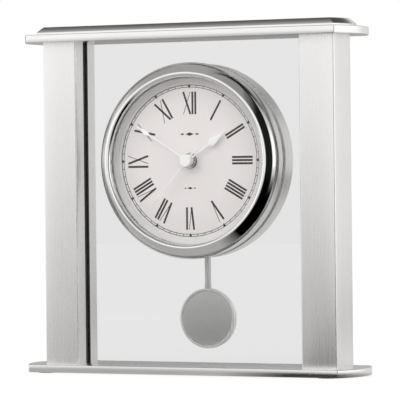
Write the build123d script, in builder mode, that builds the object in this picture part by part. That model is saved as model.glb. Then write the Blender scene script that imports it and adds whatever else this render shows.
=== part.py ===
from build123d import *
import os
from math import cos, radians, sin, sqrt

os.makedirs("parts", exist_ok=True)

# A mantel clock: two bowed plates, two hollow posts, a glass panel between them,
# a round clock head clamped to the glass and a short pendulum that hangs behind it.
# Millimetres. +Z is up, the dial faces -Y, the origin is under the middle of the base.

# ---- plates, cap and feet ----
overall_height = 200.0
straight_width = 193.0      # length of the straight front and rear edges
plate_depth = 47.0
end_bow = 8.2               # how far each rounded end stands out past the straight edges
base_thickness = 4.4
top_thickness = 4.5
cap_inset = 6.7
cap_lip = 1.4
cap_slope = 3.3             # height of the bevelled band above the lip
cap_slope_inset = 3.3
plate_edge_chamfer = 0.25
foot_radius = 6.0
foot_thickness = 1.0
foot_recess = 0.6
foot_x = 88.0
foot_y = 15.5

# ---- posts ----
post_width = 21.4
post_depth = 24.4
post_x = 81.0               # centre line of each post
post_wall = 1.6
post_edge_radius = 1.0
port_radius = 3.2           # screw ports inside the extrusion
port_y = 7.8
channel_wall = 1.2

# ---- glass panel and its seals ----
glass_thickness = 3.0
glass_entry = 2.9           # how far the glass runs into each post
glass_seat = 1.5            # how far it runs into the plates
glass_play = 0.2
seal_lip = 0.8
seal_depth = 4.0
seal_proud = 0.3

# ---- screws ----
screw_radius = 1.5
screw_clearance = 0.15
screw_head_radius = 2.75
screw_head_height = 2.2
head_play = 0.15
head_recess = 2.5
post_screw_reach = 12.0     # thread length inside a post
hex_socket = 1.25

# ---- clock head, distances "forward" are measured from the glass's middle plane ----
head_height = 121.5
drum_radius = 55.6
drum_wall = 2.0
case_gasket = 0.5
gasket_inner = 50.3
glass_hole = 50.0
spigot_radius = 49.6
spigot_wall = 2.0
drum_rear = -12.4
rear_wall = 1.6
flange = 1.4
dial_back = 6.3
web_thickness = 1.5
web_inner = 46.2
case_screw_circle = 43.0
case_boss_radius = 3.5
window_width = 62.0
window_top = 32.0
window_bottom = -38.5
window_corner = 3.0

# ---- bezel, crystal, dial ----
bezel_radius = 56.1
bezel_opening = 47.6
bezel_bore = 49.3
bezel_lip_back = 11.7
bead_centre = 49.7
bead_forward = 12.5
bead_radius = 2.0
bezel_slope = 35.0          # fall of the band between the bead and the outer round, in degrees
ring_round = 6.0            # radius of the bezel's outer rounded edge
snap_lip_inner = 52.6
snap_lip_outer = 54.1
snap_lip_height = 2.0
snap_play = 0.05
crystal_radius = 49.1
crystal_thickness = 1.5
crystal_dome = 6.0
crystal_rim = 1.7
crystal_gasket = 0.3
dial_thickness = 0.8
rehaut_inner = 43.4
rehaut_step = 45.0
rehaut_top = 47.4

# ---- movement housing ----
movement_width = 56.0
movement_top = 30.0
movement_bottom = -36.0
movement_wall = 1.2
movement_corner = 3.0
movement_rear = -10.4
shelf_height = 12.9         # middle of the wall under the battery
shelf_thickness = 1.0
bushing_radius = 3.4
bushing_front = 8.9
nut_radius = 4.3
washer_radius = 4.6
washer_thickness = 0.3

# ---- arbors and running fits ----
running_play = 0.05
arbor_radius = 0.5
motion_arbor_radius = 0.7
second_arbor_radius = 0.75
cannon_radius = 1.6
hour_pipe_radius = 2.5
middle_plate_front = 0.8
middle_plate_rear = -0.2
rear_plate_front = -7.0
rear_plate_rear = -8.0
arbor_rear = -7.9
arbor_front = 0.7
pillar_radius = 1.8
train_pillar_radius = 1.5

# ---- gears: module of each mesh, and the direction of each arbor from its partner ----
motion_module = 0.45
centre_module = 0.24
second_module = 0.28
rotor_module = 0.23
cannon_teeth = 10
motion_teeth = 30
motion_pinion_teeth = 8
hour_teeth = 32
centre_teeth = 64
third_teeth = 60
second_teeth = 40
intermediate_teeth = 48
pinion_teeth = 8
motion_direction = 160.0
third_direction = -20.0
intermediate_direction = 235.0
rotor_direction = 200.0

# ---- gear layers, each the rear face of a wheel or pinion ----
hour_wheel_back = 3.8
motion_pinion_back = 3.7
motion_wheel_back = 2.6
cannon_gear_back = 2.4
pipe_back = 1.1
centre_wheel_back = 1.3
third_pinion_back = 1.1
third_wheel_back = -1.3
second_pinion_back = -1.5
second_wheel_back = -2.8
intermediate_pinion_back = -3.0
intermediate_wheel_back = -4.2
rotor_pinion_back = -4.4
rotor_magnet_back = -6.6
rotor_magnet_radius = 2.4
rotor_magnet_length = 1.8
stator_back = -6.2
stator_thickness = 1.0
wheel_thickness = 0.7
thin_wheel = 0.6
pinion_thickness = 1.1
motion_gear_thickness = 1.2
train_plate_place = (1.75, -3.0)
train_plate_width = 33.5
train_plate_height = 26.0
knob_radius = 7.0
knob_grooves = 18

# ---- battery ----
battery_radius = 7.25
battery_length = 50.5
battery_nub = 1.0
battery_nub_radius = 2.75
battery_play = 0.2
contact_thickness = 0.5

# ---- pendulum ----
pivot_drop = 9.2            # pivot below the dial's centre
hanger_front = -11.0
hanger_thickness = 1.6
hanger_half_width = 4.0
hanger_length = 27.3        # pivot to the hanger's lower end
peg_drop = 24.0             # pivot to the peg that carries the rod
peg_radius = 1.0
pin_radius = 1.0
pin_head_radius = 1.8
magnet_drop = 17.8
magnet_radius = 3.5
magnet_front = -10.75
magnet_rear = -12.3
rod_forward = -15.3         # axis of the round rod
rod_radius = 1.9
rod_past_peg = 3.4
rod_spigot_radius = 0.8     # thin end that enters the bob's rim
rod_spigot = 9.0
bob_drop = 81.5             # pivot to the bob's centre
bob_radius = 17.2
bob_rim_width = 1.45
bob_front = -13.3
bob_thickness = 4.0
bob_recess = 0.3
bob_sheet = 0.8
bob_edge_radius = 0.45

# ---- hands, angles clockwise from twelve ----
hour_angle = 55.0
minute_angle = 302.0
second_angle = 221.0
hour_hand_forward = 9.3
minute_hand_forward = 10.6
second_hand_forward = 11.5
hand_thickness = 0.4
second_hand_thickness = 0.3
hub_radius = 3.5
hub_front = 14.0
hour_stations = [(0.0, 1.0), (3.0, 0.55), (15.5, 0.45), (18.0, 2.4), (20.5, 1.9), (26.5, 0.4), (30.0, 0.1)]
minute_stations = [(0.0, 0.9), (3.0, 0.45), (28.0, 0.35), (31.0, 1.35), (33.5, 0.9), (38.5, 0.1)]
second_stations = [(-9.0, 0.5), (0.0, 0.35), (36.5, 0.15)]

# ---- heights and places that follow ----
foot_proud = foot_thickness - foot_recess
base_top = foot_proud + base_thickness
cap_bottom = overall_height - cap_lip - cap_slope
slab_bottom = cap_bottom - top_thickness
post_height = slab_bottom - base_top
post_inner = post_x - post_width / 2
end_radius = ((plate_depth / 2) ** 2 + end_bow**2) / (2 * end_bow)
end_centre = straight_width / 2 + end_bow - end_radius
dial_front = dial_back + dial_thickness
crystal_front = bezel_lip_back - crystal_gasket
crystal_back = crystal_front - crystal_thickness
movement_height = movement_top - movement_bottom
movement_middle = (movement_top + movement_bottom) / 2
motion_distance = motion_module * (cannon_teeth + motion_teeth) / 2
third_distance = centre_module * (centre_teeth + pinion_teeth) / 2
third_module = 2 * third_distance / (third_teeth + pinion_teeth)
intermediate_distance = second_module * (second_teeth + pinion_teeth) / 2
rotor_distance = rotor_module * (intermediate_teeth + pinion_teeth) / 2
battery_height = movement_top - movement_wall - battery_play - battery_radius
battery_forward = dial_back - movement_wall - battery_play - battery_radius

head_plane = Plane(origin=(0, 0, head_height), x_dir=(1, 0, 0), z_dir=(0, -1, 0))
section_plane = Plane(origin=(0, 0, head_height), x_dir=(0, 0, 1), z_dir=(1, 0, 0))
head_axis = Axis((0, 0, head_height), (0, 1, 0))


def from_centre(start, distance, direction):
    angle = radians(direction)
    return (start[0] + distance * cos(angle), start[1] + distance * sin(angle))


centre_arbor = (0.0, 0.0)
motion_arbor = from_centre(centre_arbor, motion_distance, motion_direction)
third_arbor = from_centre(centre_arbor, third_distance, third_direction)
intermediate_arbor = from_centre(centre_arbor, intermediate_distance, intermediate_direction)
rotor_arbor = from_centre(intermediate_arbor, rotor_distance, rotor_direction)
pivot = (0.0, -pivot_drop)
magnet_place = (0.0, -pivot_drop - magnet_drop)
peg_place = (0.0, -pivot_drop - peg_drop)
bob_place = (0.0, -pivot_drop - bob_drop)


def finish(part, name):
    part.label = name
    export_step(part, f"parts/{name}.step")


# Faces that lie across the head's axis, at a distance forward of the glass's middle.
def disc(forward, place, radius, bore=0.0):
    with BuildSketch(head_plane.offset(forward)) as face:
        with Locations(place):
            Circle(radius)
            if bore > 0:
                Circle(bore, mode=Mode.SUBTRACT)
    return face.sketch


def block(forward, place, width, height, corner=0.0):
    with BuildSketch(head_plane.offset(forward)) as face:
        with Locations(place):
            if corner > 0:
                RectangleRounded(width, height, corner)
            else:
                Rectangle(width, height)
    return face.sketch


# The outline shared by both plates and the cap: straight sides, ends bowed to an arc.
def plate_outline(height, inset):
    half_depth = plate_depth / 2 - inset
    radius = end_radius - inset
    corner = end_centre + sqrt(radius**2 - half_depth**2)
    tip = end_centre + radius
    with BuildSketch(Plane.XY.offset(height)) as face:
        with BuildLine():
            Line((-corner, -half_depth), (corner, -half_depth))
            ThreePointArc((corner, -half_depth), (tip, 0), (corner, half_depth))
            Line((corner, half_depth), (-corner, half_depth))
            ThreePointArc((-corner, half_depth), (-tip, 0), (-corner, -half_depth))
        make_face()
    return face.sketch


def ring_section(points):
    with BuildSketch(section_plane) as face:
        with BuildLine():
            Polyline(*points, close=True)
        make_face()
    return face.sketch


# A toothed outline: slim straight-sided teeth, so that meshing pairs keep some backlash.
def gear_face(forward, place, teeth, module, direction, tooth_on_line, bore=0.0):
    pitch = 360 / teeth
    phase = direction if tooth_on_line else direction + pitch / 2
    root = module * (teeth / 2 - 1.15)
    tip = module * (teeth / 2 + 0.8)
    points = []
    for tooth in range(teeth):
        middle = phase + tooth * pitch
        for radius, share in ((root, -0.28), (tip, -0.09), (tip, 0.09), (root, 0.28)):
            points.append(from_centre(place, radius, middle + share * pitch))
    with BuildSketch(head_plane.offset(forward)) as face:
        with BuildLine():
            Polyline(*points, close=True)
        make_face()
        if bore > 0:
            with Locations(place):
                Circle(bore, mode=Mode.SUBTRACT)
    return face.sketch


def screw_places():
    return [(side * post_x, row * port_y) for side in (-1, 1) for row in (-1, 1)]


# ---- base, top and cap ----
with BuildPart() as base_plate:
    extrude(plate_outline(foot_proud, 0), amount=base_thickness)
    chamfer(base_plate.faces().sort_by(Axis.Z)[-1].edges(), plate_edge_chamfer)
    with BuildSketch(Plane.XY.offset(base_top - glass_seat - glass_play)):
        Rectangle(2 * (post_inner + glass_entry + glass_play), glass_thickness + glass_play)
    extrude(amount=glass_seat + glass_play, mode=Mode.SUBTRACT)
    with BuildSketch(Plane.XY.offset(foot_proud)):
        with Locations(*screw_places()):
            Circle(screw_head_radius + head_play)
    extrude(amount=head_recess, mode=Mode.SUBTRACT)
    with BuildSketch(Plane.XY.offset(foot_proud)):
        with Locations(*screw_places()):
            Circle(screw_radius + screw_clearance)
    extrude(amount=base_thickness, mode=Mode.SUBTRACT)
    with BuildSketch(Plane.XY.offset(foot_proud)):
        with GridLocations(2 * foot_x, 2 * foot_y, 2, 2):
            Circle(foot_radius)
    extrude(amount=foot_recess, mode=Mode.SUBTRACT)
finish(base_plate.part, "base_plate")

with BuildPart() as top_plate:
    extrude(plate_outline(slab_bottom, 0), amount=top_thickness)
    chamfer(top_plate.faces().sort_by(Axis.Z)[-1].edges(), plate_edge_chamfer)
    with BuildSketch(Plane.XY.offset(slab_bottom)):
        Rectangle(2 * (post_inner + glass_entry + glass_play), glass_thickness + glass_play)
    extrude(amount=glass_seat + glass_play, mode=Mode.SUBTRACT)
    with BuildSketch(Plane.XY.offset(slab_bottom)):
        with Locations(*screw_places()):
            Circle(screw_radius + screw_clearance)
    extrude(amount=top_thickness, mode=Mode.SUBTRACT)
    with BuildSketch(Plane.XY.offset(cap_bottom - head_recess)):
        with Locations(*screw_places()):
            Circle(screw_head_radius + head_play)
    extrude(amount=head_recess, mode=Mode.SUBTRACT)
finish(top_plate.part, "top_plate")

with BuildPart() as top_cap:
    extrude(plate_outline(cap_bottom, cap_inset), amount=cap_lip)
    loft([plate_outline(cap_bottom + cap_lip, cap_inset), plate_outline(overall_height, cap_inset + cap_slope_inset)])
finish(top_cap.part, "top_cap")

with BuildPart() as felt_feet:
    with BuildSketch():
        with GridLocations(2 * foot_x, 2 * foot_y, 2, 2):
            Circle(foot_radius)
    extrude(amount=foot_thickness)
finish(felt_feet.part, "felt_feet")


# ---- posts: hollow extrusions with a glass channel in the inner side ----
def post(side):
    channel = seal_depth + channel_wall
    groove_width = glass_thickness + 2 * seal_lip
    with BuildPart() as extrusion:
        with BuildSketch(Plane.XY.offset(base_top)):
            with Locations((side * post_x, 0)):
                RectangleRounded(post_width, post_depth, post_edge_radius)
                Rectangle(post_width - 2 * post_wall, post_depth - 2 * post_wall, mode=Mode.SUBTRACT)
            with Locations((side * (post_inner + channel / 2), 0)):
                Rectangle(channel, groove_width + 2 * channel_wall)
            with Locations((side * (post_inner + seal_depth / 2), 0)):
                Rectangle(seal_depth, groove_width, mode=Mode.SUBTRACT)
            with Locations((side * post_x, port_y), (side * post_x, -port_y)):
                Circle(port_radius)
                Circle(screw_radius, mode=Mode.SUBTRACT)
        extrude(amount=post_height)
    return extrusion.part


def glass_seal(side):
    depth = seal_depth + seal_proud
    slot = glass_entry + seal_proud
    with BuildPart() as strip:
        with BuildSketch(Plane.XY.offset(base_top)):
            with Locations((side * (post_inner - seal_proud + depth / 2), 0)):
                Rectangle(depth, glass_thickness + 2 * seal_lip)
            with Locations((side * (post_inner - seal_proud + slot / 2), 0)):
                Rectangle(slot, glass_thickness, mode=Mode.SUBTRACT)
        extrude(amount=post_height)
    return strip.part


for side, side_name in ((-1, "left"), (1, "right")):
    finish(post(side), f"post_{side_name}")
    finish(glass_seal(side), f"glass_seal_{side_name}")


# Screws of one plate; the head sits at head_face, on the side away from the post.
def post_screws(head_face, away):
    with BuildPart() as screws:
        with BuildSketch(Plane.XY.offset(head_face)):
            with Locations(*screw_places()):
                Circle(screw_head_radius)
                RegularPolygon(hex_socket, 6, mode=Mode.SUBTRACT)
        extrude(amount=away * screw_head_height)
        with BuildSketch(Plane.XY.offset(head_face + away * screw_head_height / 2)):
            with Locations(*screw_places()):
                Circle(screw_radius)
        extrude(amount=-away * (screw_head_height / 2 + post_screw_reach))
    return screws.part


finish(post_screws(foot_proud + head_recess, -1), "base_screws")
finish(post_screws(cap_bottom - head_recess, 1), "top_screws")

with BuildPart() as glass_panel:
    panel_height = post_height + 2 * glass_seat
    middle = (0, (base_top + slab_bottom) / 2 - head_height)
    extrude(block(-glass_thickness / 2, middle, 2 * (post_inner + glass_entry), panel_height), amount=glass_thickness)
    extrude(disc(-glass_thickness / 2, centre_arbor, glass_hole), amount=glass_thickness, mode=Mode.SUBTRACT)
finish(glass_panel.part, "glass_panel")

# ---- round case: a front ring and a rear drum that clamp the glass between gaskets ----
case_front = glass_thickness / 2 + case_gasket
web_back = dial_back - web_thickness

with BuildPart() as front_case:
    outline = [
        (drum_radius, case_front),
        (drum_radius, dial_back),
        (snap_lip_outer, dial_back),
        (snap_lip_outer, dial_back + snap_lip_height),
        (snap_lip_inner, dial_back + snap_lip_height),
        (snap_lip_inner, dial_back),
        (web_inner, dial_back),
        (web_inner, web_back),
        (drum_radius - drum_wall, web_back),
        (drum_radius - drum_wall, case_front + flange),
        (gasket_inner, case_front + flange),
        (gasket_inner, case_front),
    ]
    revolve(ring_section(outline), axis=head_axis)
    with BuildSketch(head_plane.offset(web_back)):
        with PolarLocations(case_screw_circle, 4):
            Circle(case_boss_radius)
        with PolarLocations((case_screw_circle + web_inner + 1) / 2, 4):
            Rectangle(web_inner + 1 - case_screw_circle, 2 * case_boss_radius)
    extrude(amount=web_thickness)
    with BuildSketch(head_plane):
        with PolarLocations(case_screw_circle, 4):
            Circle(case_boss_radius)
    extrude(amount=web_back)
    with BuildSketch(head_plane):
        with PolarLocations(case_screw_circle, 4):
            Circle(screw_radius)
    extrude(amount=web_back, mode=Mode.SUBTRACT)
finish(front_case.part, "front_case")

with BuildPart() as rear_case:
    outline = [
        (drum_radius, -case_front),
        (drum_radius, drum_rear),
        (0, drum_rear),
        (0, drum_rear + rear_wall),
        (drum_radius - drum_wall, drum_rear + rear_wall),
        (drum_radius - drum_wall, -case_front - flange),
        (spigot_radius - spigot_wall, -case_front - flange),
        (spigot_radius - spigot_wall, case_front),
        (spigot_radius, case_front),
        (spigot_radius, -case_front),
    ]
    revolve(ring_section(outline), axis=head_axis)
    window_place = (0, (window_top + window_bottom) / 2)
    window = block(drum_rear, window_place, window_width, window_top - window_bottom, window_corner)
    extrude(window, amount=rear_wall, mode=Mode.SUBTRACT)
    with BuildSketch(head_plane.offset(drum_rear)):
        with PolarLocations(case_screw_circle, 4):
            Circle(case_boss_radius)
    extrude(amount=-drum_rear)
    with BuildSketch(head_plane.offset(drum_rear)):
        with PolarLocations(case_screw_circle, 4):
            Circle(screw_radius + screw_clearance)
    extrude(amount=-drum_rear, mode=Mode.SUBTRACT)
    with BuildSketch(head_plane.offset(drum_rear)):
        with PolarLocations(case_screw_circle, 4):
            Circle(screw_head_radius + head_play)
    extrude(amount=head_recess, mode=Mode.SUBTRACT)
finish(rear_case.part, "rear_case")

with BuildPart() as case_screws:
    with BuildSketch(head_plane.offset(drum_rear + head_recess)):
        with PolarLocations(case_screw_circle, 4):
            Circle(screw_head_radius)
            RegularPolygon(1.25, 6, mode=Mode.SUBTRACT)
    extrude(amount=-screw_head_height)
    with BuildSketch(head_plane.offset(drum_rear + head_recess - screw_head_height / 2)):
        with PolarLocations(case_screw_circle, 4):
            Circle(screw_radius)
    extrude(amount=screw_head_height / 2 - drum_rear - head_recess + web_back - screw_clearance)
finish(case_screws.part, "case_screws")

for gasket_name, gasket_forward in (("front", glass_thickness / 2), ("rear", -case_front)):
    with BuildPart() as case_seal:
        extrude(disc(gasket_forward, centre_arbor, drum_radius - 0.2, gasket_inner), amount=case_gasket)
    finish(case_seal.part, f"case_gasket_{gasket_name}")

# ---- bezel, crystal, rehaut and dial ----
with BuildPart() as bezel_ring:
    fall = radians(bezel_slope)
    half_fall = radians((90 + bezel_slope) / 2)
    ring_centre = bezel_radius - ring_round
    bead_foot = (bead_centre + bead_radius * sin(fall), bead_forward + bead_radius * cos(fall))
    round_start = ring_centre + ring_round * sin(fall)
    round_top = bead_foot[1] - (round_start - bead_foot[0]) * sin(fall) / cos(fall)
    round_bottom = round_top - ring_round * cos(fall)
    round_middle = (ring_centre + ring_round * sin(half_fall), round_bottom + ring_round * cos(half_fall))
    groove_top = dial_back + snap_lip_height + snap_play
    with BuildSketch(section_plane):
        with BuildLine():
            Polyline(
                (bezel_radius, round_bottom),
                (bezel_radius, dial_back),
                (snap_lip_outer + snap_play, dial_back),
                (snap_lip_outer + snap_play, groove_top),
                (snap_lip_inner - snap_play, groove_top),
                (snap_lip_inner - snap_play, dial_back),
                (bezel_bore, dial_back),
                (bezel_bore, bezel_lip_back),
                (bezel_opening, bezel_lip_back),
                (bead_centre - bead_radius, bead_forward),
            )
            ThreePointArc(
                (bead_centre - bead_radius, bead_forward),
                (bead_centre, bead_forward + bead_radius),
                bead_foot,
            )
            Line(bead_foot, (round_start, round_top))
            ThreePointArc((round_start, round_top), round_middle, (bezel_radius, round_bottom))
        make_face()
    revolve(axis=head_axis)
finish(bezel_ring.part, "bezel_ring")

with BuildPart() as crystal:
    rim_inner = crystal_radius - crystal_rim
    with BuildSketch(section_plane):
        with BuildLine():
            TangentArc((0, crystal_front + crystal_dome), (rim_inner, crystal_front), tangent=(1, 0))
            Polyline(
                (rim_inner, crystal_front),
                (crystal_radius, crystal_front),
                (crystal_radius, crystal_back),
                (rim_inner - crystal_thickness, crystal_back),
            )
            TangentArc((0, crystal_back + crystal_dome), (rim_inner - crystal_thickness, crystal_back), tangent=(1, 0))
            Line((0, crystal_back + crystal_dome), (0, crystal_front + crystal_dome))
        make_face()
    revolve(axis=head_axis)
finish(crystal.part, "crystal")

with BuildPart() as crystal_seal:
    extrude(disc(crystal_front, centre_arbor, crystal_radius, bezel_opening + 0.2), amount=crystal_gasket)
finish(crystal_seal.part, "crystal_gasket")

with BuildPart() as rehaut_ring:
    outline = [
        (rehaut_inner, dial_front),
        (rehaut_inner, dial_front + 0.5),
        (rehaut_step, dial_front + 0.9),
        (rehaut_step, dial_front + 1.3),
        (rehaut_top, dial_front + 2.2),
        (rehaut_top, crystal_back),
        (crystal_radius, crystal_back),
        (crystal_radius, dial_front),
    ]
    revolve(ring_section(outline), axis=head_axis)
finish(rehaut_ring.part, "rehaut_ring")

with BuildPart() as dial_plate:
    extrude(disc(dial_back, centre_arbor, crystal_radius, bushing_radius + running_play), amount=dial_thickness)
finish(dial_plate.part, "dial_plate")

# ---- movement housing ----
cavity_width = movement_width - 2 * movement_wall
cavity_height = movement_height - 2 * movement_wall
cavity_corner = movement_corner - movement_wall
movement_place = (0, movement_middle)
cover_floor = dial_back - movement_wall

with BuildPart() as movement_front_cover:
    extrude(block(0, movement_place, movement_width, movement_height, movement_corner), amount=dial_back)
    cavity = block(0, movement_place, cavity_width, cavity_height, cavity_corner)
    extrude(cavity, amount=cover_floor, mode=Mode.SUBTRACT)
    extrude(block(0, (0, shelf_height), cavity_width, shelf_thickness), amount=cover_floor)
    extrude(disc(cover_floor, centre_arbor, bushing_radius), amount=bushing_front - cover_floor)
    bushing_bore = disc(cover_floor, centre_arbor, hour_pipe_radius + running_play)
    extrude(bushing_bore, amount=bushing_front - cover_floor, mode=Mode.SUBTRACT)
    motion_pivot = disc(cover_floor, motion_arbor, motion_arbor_radius + running_play)
    extrude(motion_pivot, amount=movement_wall / 2, mode=Mode.SUBTRACT)
finish(movement_front_cover.part, "movement_front_cover")

with BuildPart() as movement_back_cover:
    rear_floor = movement_rear + movement_wall
    extrude(block(movement_rear, movement_place, movement_width, movement_height, movement_corner), amount=-movement_rear)
    cavity = block(rear_floor, movement_place, cavity_width, cavity_height, cavity_corner)
    extrude(cavity, amount=-rear_floor, mode=Mode.SUBTRACT)
    extrude(block(rear_floor, (0, shelf_height), cavity_width, shelf_thickness), amount=-rear_floor)
    hatch_height = 2 * battery_radius + 2 * battery_play
    hatch = block(movement_rear, (0, battery_height), cavity_width - 1, hatch_height, 1)
    extrude(hatch, amount=movement_wall, mode=Mode.SUBTRACT)
    extrude(disc(rear_floor, pivot, 2.2 * pin_radius), amount=1)
    extrude(disc(movement_rear, pivot, pin_radius), amount=movement_wall + 1, mode=Mode.SUBTRACT)
    knob_hole = disc(movement_rear, motion_arbor, motion_arbor_radius + running_play)
    extrude(knob_hole, amount=movement_wall, mode=Mode.SUBTRACT)
finish(movement_back_cover.part, "movement_back_cover")

with BuildPart() as dial_washer:
    extrude(disc(dial_front, centre_arbor, washer_radius, bushing_radius + running_play), amount=washer_thickness)
finish(dial_washer.part, "dial_washer")

with BuildPart() as dial_nut:
    nut_back = dial_front + washer_thickness
    extrude(disc(nut_back, centre_arbor, nut_radius, bushing_radius), amount=bushing_front - nut_back)
    with BuildSketch(head_plane.offset(bushing_front - 0.7)):
        with PolarLocations(nut_radius, 2):
            Rectangle(1.2, 0.8)
    extrude(amount=0.7, mode=Mode.SUBTRACT)
finish(dial_nut.part, "dial_nut")

# ---- train plates ----
shelf_bottom = shelf_height - shelf_thickness / 2
plate_top = shelf_bottom - 0.6
plate_bottom = movement_bottom + movement_wall + 0.2
cover_pillars = [(23.5, 8.5), (-23.5, 8.5), (23.5, -31.0), (-23.5, -31.0)]
train_pillars = [(-13.0, 7.5), (16.5, 8.0), (15.5, -12.5), (-3.0, -14.2)]
stator_bosses = [(-14.2, -13.5), (-8.2, -13.5)]
coil_place = magnet_place
coil_core_radius = 2.55
coil_step_radius = 4.0
coil_front = -4.8
coil_rear = -8.8

with BuildPart() as middle_plate:
    plate_place = (0, (plate_top + plate_bottom) / 2)
    plate = block(middle_plate_rear, plate_place, cavity_width - 0.4, plate_top - plate_bottom, cavity_corner)
    extrude(plate, amount=middle_plate_front - middle_plate_rear)
    for place in cover_pillars:
        extrude(disc(middle_plate_rear, place, pillar_radius), amount=cover_floor - middle_plate_rear)
    for place in train_pillars:
        extrude(disc(rear_plate_front, place, train_pillar_radius), amount=middle_plate_rear - rear_plate_front)
    extrude(disc(coil_front, coil_place, coil_step_radius), amount=middle_plate_rear - coil_front)
    extrude(disc(coil_rear, coil_place, coil_core_radius), amount=coil_front - coil_rear)
    holes = [
        (centre_arbor, second_arbor_radius),
        (third_arbor, arbor_radius),
        (intermediate_arbor, arbor_radius),
        (rotor_arbor, arbor_radius),
        (motion_arbor, motion_arbor_radius),
    ]
    for place, radius in holes:
        bearing = disc(middle_plate_rear, place, radius + running_play)
        extrude(bearing, amount=middle_plate_front - middle_plate_rear, mode=Mode.SUBTRACT)
finish(middle_plate.part, "middle_plate")

with BuildPart() as train_plate:
    train_block = block(rear_plate_rear, train_plate_place, train_plate_width, train_plate_height)
    extrude(train_block, amount=rear_plate_front - rear_plate_rear)
    for place in stator_bosses:
        extrude(disc(rear_plate_rear, place, 1.2), amount=1.8)
    for place, radius in holes:
        bearing = disc(rear_plate_rear, place, radius + running_play)
        extrude(bearing, amount=rear_plate_front - rear_plate_rear, mode=Mode.SUBTRACT)
finish(train_plate.part, "train_plate")

# ---- motion work: cannon pinion, motion wheel and hour wheel ----
with BuildPart() as hour_wheel:
    bore = cannon_radius + running_play
    toothed = gear_face(hour_wheel_back, centre_arbor, hour_teeth, motion_module, motion_direction, False, bore)
    extrude(toothed, amount=1.0)
    pipe_front = hour_hand_forward + hand_thickness
    extrude(disc(hour_wheel_back, centre_arbor, hour_pipe_radius, bore), amount=pipe_front - hour_wheel_back)
finish(hour_wheel.part, "hour_wheel")

with BuildPart() as cannon_pinion:
    bore = second_arbor_radius + running_play
    toothed = gear_face(cannon_gear_back, centre_arbor, cannon_teeth, motion_module, motion_direction, True, bore)
    extrude(toothed, amount=motion_gear_thickness)
    pipe_front = minute_hand_forward + hand_thickness
    extrude(disc(pipe_back, centre_arbor, cannon_radius, bore), amount=pipe_front - pipe_back)
finish(cannon_pinion.part, "cannon_pinion")

with BuildPart() as motion_wheel:
    back = motion_direction + 180
    wheel = gear_face(motion_wheel_back, motion_arbor, motion_teeth, motion_module, back, False)
    extrude(wheel, amount=wheel_thickness)
    pinion = gear_face(motion_pinion_back, motion_arbor, motion_pinion_teeth, motion_module, back, True)
    extrude(pinion, amount=motion_gear_thickness)
    arbor_end = drum_rear + 0.4
    extrude(disc(arbor_end, motion_arbor, motion_arbor_radius), amount=cover_floor + 0.5 - arbor_end)
finish(motion_wheel.part, "motion_wheel")

with BuildPart() as setting_knob:
    knob_front = movement_rear - 0.3
    knob_rear = drum_rear - 0.2
    extrude(disc(knob_rear, motion_arbor, knob_radius, motion_arbor_radius), amount=knob_front - knob_rear)
    with BuildSketch(head_plane.offset(knob_rear)):
        with Locations(motion_arbor):
            with PolarLocations(knob_radius, knob_grooves):
                Circle(0.5)
    extrude(amount=knob_front - knob_rear, mode=Mode.SUBTRACT)
finish(setting_knob.part, "setting_knob")

# ---- going train: centre, third, second and intermediate wheels, rotor ----
with BuildPart() as centre_wheel:
    bore = cannon_radius + running_play
    wheel = gear_face(centre_wheel_back, centre_arbor, centre_teeth, centre_module, third_direction, False, bore)
    extrude(wheel, amount=wheel_thickness)
finish(centre_wheel.part, "centre_wheel")

with BuildPart() as third_wheel:
    back = third_direction + 180
    pinion = gear_face(third_pinion_back, third_arbor, pinion_teeth, centre_module, back, True)
    extrude(pinion, amount=pinion_thickness)
    wheel = gear_face(third_wheel_back, third_arbor, third_teeth, third_module, back, False)
    extrude(wheel, amount=wheel_thickness)
    extrude(disc(arbor_rear, third_arbor, arbor_radius), amount=third_pinion_back + pinion_thickness - arbor_rear)
finish(third_wheel.part, "third_wheel")

with BuildPart() as second_wheel:
    pinion = gear_face(second_pinion_back, centre_arbor, pinion_teeth, third_module, third_direction, True)
    extrude(pinion, amount=pinion_thickness)
    wheel = gear_face(second_wheel_back, centre_arbor, second_teeth, second_module, intermediate_direction, False)
    extrude(wheel, amount=wheel_thickness)
    extrude(disc(arbor_rear, centre_arbor, second_arbor_radius), amount=hub_front - 1 - arbor_rear)
finish(second_wheel.part, "second_wheel")

with BuildPart() as intermediate_wheel:
    back = intermediate_direction + 180
    pinion = gear_face(intermediate_pinion_back, intermediate_arbor, pinion_teeth, second_module, back, True)
    extrude(pinion, amount=pinion_thickness)
    wheel_face = (intermediate_wheel_back, intermediate_arbor, intermediate_teeth)
    wheel = gear_face(*wheel_face, rotor_module, rotor_direction, False)
    extrude(wheel, amount=thin_wheel)
    extrude(disc(arbor_rear, intermediate_arbor, arbor_radius), amount=arbor_front - arbor_rear)
finish(intermediate_wheel.part, "intermediate_wheel")

with BuildPart() as rotor:
    back = rotor_direction + 180
    pinion = gear_face(rotor_pinion_back, rotor_arbor, pinion_teeth, rotor_module, back, True)
    extrude(pinion, amount=thin_wheel + 0.4)
    extrude(disc(rotor_magnet_back, rotor_arbor, rotor_magnet_radius), amount=rotor_magnet_length)
    extrude(disc(arbor_rear, rotor_arbor, arbor_radius), amount=arbor_front - arbor_rear)
finish(rotor.part, "rotor")

# ---- stepping motor, electronics and battery ----
stator_left = -23.5
stator_bar = 3.5
stator_bar_bottom = -12.0
stator_bar_top = -2.5

with BuildPart() as stator:
    extrude(block(stator_back, (stator_left + 8.75, -7.25), 17.5, 15.5), amount=stator_thickness)
    slot_place = (-16.7, (stator_bar_top + stator_bar_bottom) / 2)
    coil_slot = block(stator_back, slot_place, 6.6, stator_bar_top - stator_bar_bottom)
    extrude(coil_slot, amount=stator_thickness, mode=Mode.SUBTRACT)
    rotor_hole = disc(stator_back, rotor_arbor, rotor_magnet_radius + 0.6)
    extrude(rotor_hole, amount=stator_thickness, mode=Mode.SUBTRACT)
finish(stator.part, "stator")

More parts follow.
